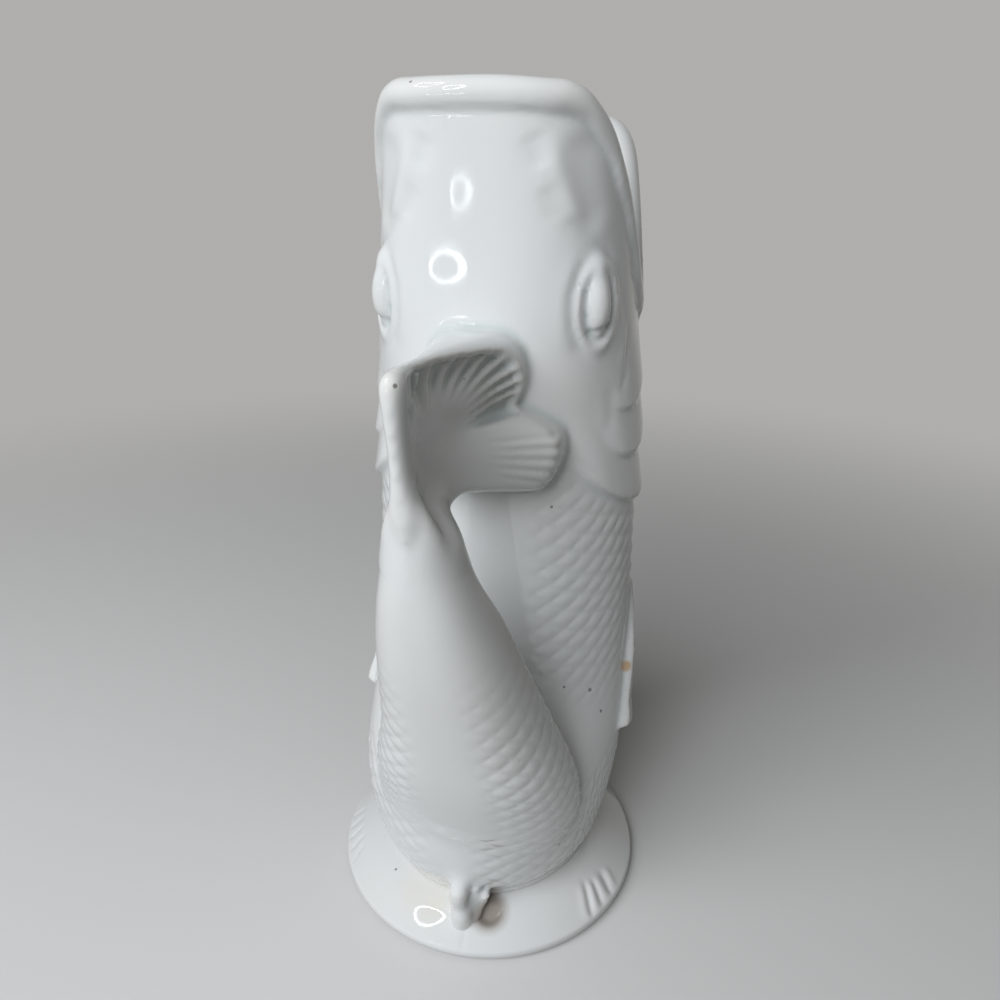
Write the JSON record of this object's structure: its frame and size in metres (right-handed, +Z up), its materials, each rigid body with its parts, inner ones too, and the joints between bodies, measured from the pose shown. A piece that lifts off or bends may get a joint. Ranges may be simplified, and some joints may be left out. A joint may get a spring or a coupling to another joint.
{
  "type": "gurgle jug",
  "caption": "Glazed earthenware jug shaped as an upright fish with a gaping mouth; the hollow tail bends round to the back of the head as the handle and makes the pour gurgle.",
  "frame": {"origin": "centre of the foot's underside, on the table", "axes": "+X towards the pouring lip and away from the tail handle, +Y towards the fish's left, +Z up"},
  "size_m": [0.1381, 0.1, 0.2375],
  "materials": {
    "glaze": "glossy white glaze"
  },
  "bodies": {
    "root": {"foot": "glaze", "body_shell": "glaze", "tail_handle": "glaze", "tail_fin": "glaze", "under_fin": "glaze", "side_fin_left": "glaze", "side_fin_right": "glaze", "gill_plates_left": "glaze", "gill_plates_right": "glaze", "eye_left": "glaze", "eye_right": "glaze"}
  },
  "joints": []
}
